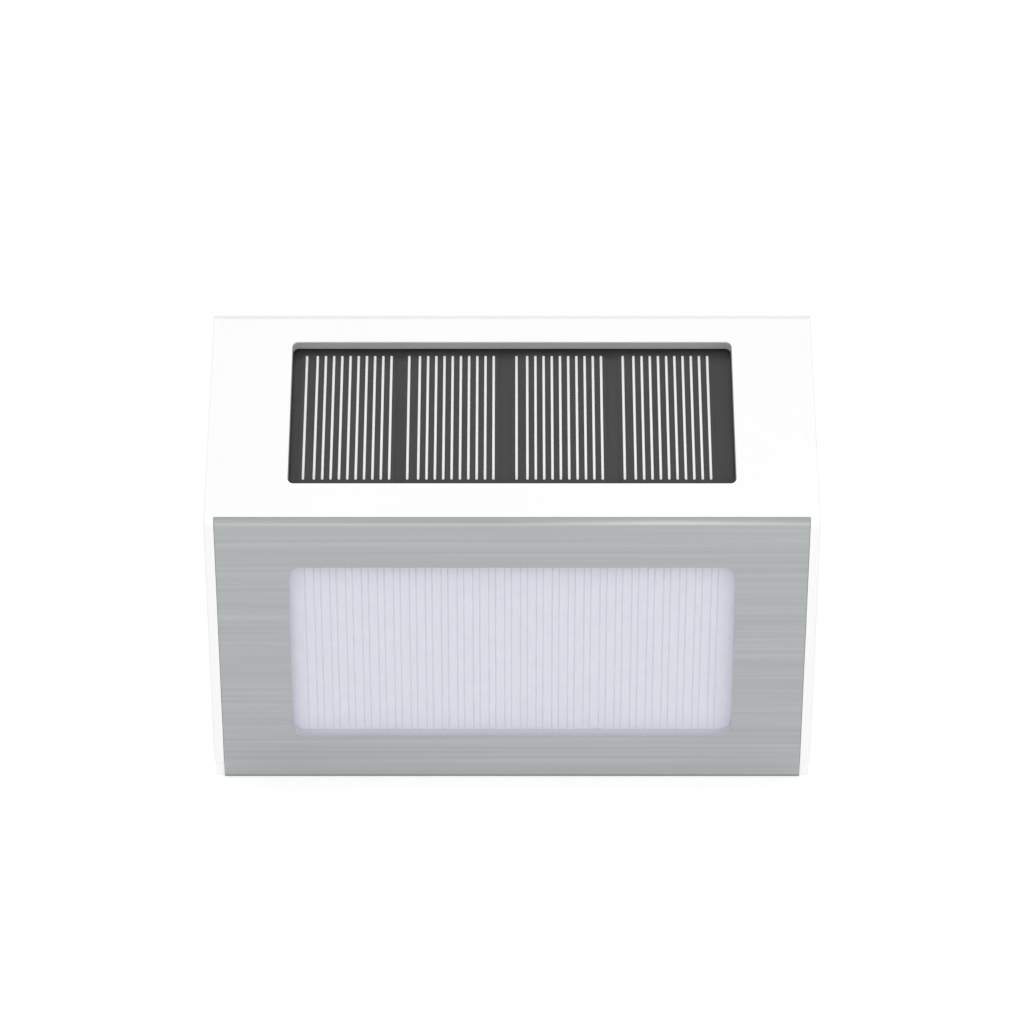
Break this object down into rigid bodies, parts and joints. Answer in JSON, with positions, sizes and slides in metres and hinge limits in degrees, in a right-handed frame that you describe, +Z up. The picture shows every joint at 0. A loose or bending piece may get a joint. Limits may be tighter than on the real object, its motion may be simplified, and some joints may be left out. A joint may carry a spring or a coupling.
{
  "type": "fence light",
  "caption": "Wall-hung solar fence light: wedge-topped white housing, brushed steel front with a ribbed lens, solar panel in the sloped top, hooked wall plate.",
  "frame": {"origin": "on the wall plane, midway between the two wall screws", "axes": "+X along the width, +Y into the wall, +Z up; the front faces -Y"},
  "size_m": [0.12, 0.04, 0.084],
  "materials": {
    "white_abs": "fine moulded satin white",
    "brushed_steel": "horizontally brushed stainless steel",
    "frosted_lens": "frosted translucent diffuser, faint lavender",
    "grey_rubber": "matte grey sealing rubber",
    "black_rubber": "matte black sealing rubber",
    "tape": "double-sided foam tape",
    "clear_film": "clear satin laminate",
    "finger_silver": "white-silver printed lines",
    "silicon": "dark grey coated silicon",
    "panel_board": "dark resin board",
    "black_abs": "matte black moulding",
    "reflector_white": "glossy white moulding",
    "green_board": "solder-resist green",
    "lamp_epoxy": "warm clear epoxy over a yellow die",
    "screw_steel": "plain zinc-plated steel",
    "battery_sleeve": "shrink sleeve",
    "nickel": "nickel-plated strip",
    "spring_steel": "nickel-plated spring wire",
    "ferrite": "dark ferrite",
    "chip_black": "black moulding compound",
    "capacitor_sleeve": "dark shrink sleeve",
    "switch_metal": "tinned steel can",
    "knob_black": "matte black moulding",
    "lead_insulation": "soft PVC insulation"
  },
  "bodies": {
    "wall_plate": {"wall_plate": "white_abs"},
    "light": {"housing": "white_abs", "front_plate": "brushed_steel", "plate_tape": "tape", "lens": "frosted_lens", "lens_gasket": "black_rubber", "panel_gasket": "grey_rubber", "solar_laminate": "clear_film", "cell_fingers": "finger_silver", "solar_cells": "silicon", "solar_backing": "panel_board", "panel_frame": "black_abs", "frame_screws": "screw_steel", "reflector": "reflector_white", "reflector_screws": "screw_steel", "lamp_board": "green_board", "lamps": "lamp_epoxy", "lamp_board_screws": "screw_steel", "back_cover": "white_abs", "cover_seal": "black_rubber", "cover_screws": "screw_steel", "battery": "battery_sleeve", "battery_contacts": "nickel", "battery_spring": "spring_steel", "circuit_board": "green_board", "board_screws": "screw_steel", "controller_chip": "chip_black", "choke_core": "ferrite", "capacitor": "capacitor_sleeve", "switch_body": "switch_metal", "solar_leads": "lead_insulation", "battery_leads": "lead_insulation", "lamp_leads": "lead_insulation", "switch_leads": "lead_insulation"},
    "battery_door": {"battery_door": "white_abs", "door_seal": "black_rubber", "door_screws": "screw_steel"},
    "switch_knob": {"switch_knob": "knob_black"}
  },
  "joints": [
    {"name": "lift_off", "type": "slide", "parent": "wall_plate", "child": "light", "axis": [0, 0, 1], "range_m": [0, 0.004]},
    {"name": "door_off", "type": "slide", "parent": "light", "child": "battery_door", "axis": [0, 1, 0], "range_m": [0, 0.012]},
    {"name": "switch_slide", "type": "slide", "parent": "light", "child": "switch_knob", "axis": [1, 0, 0], "range_m": [0, 0.002]}
  ]
}
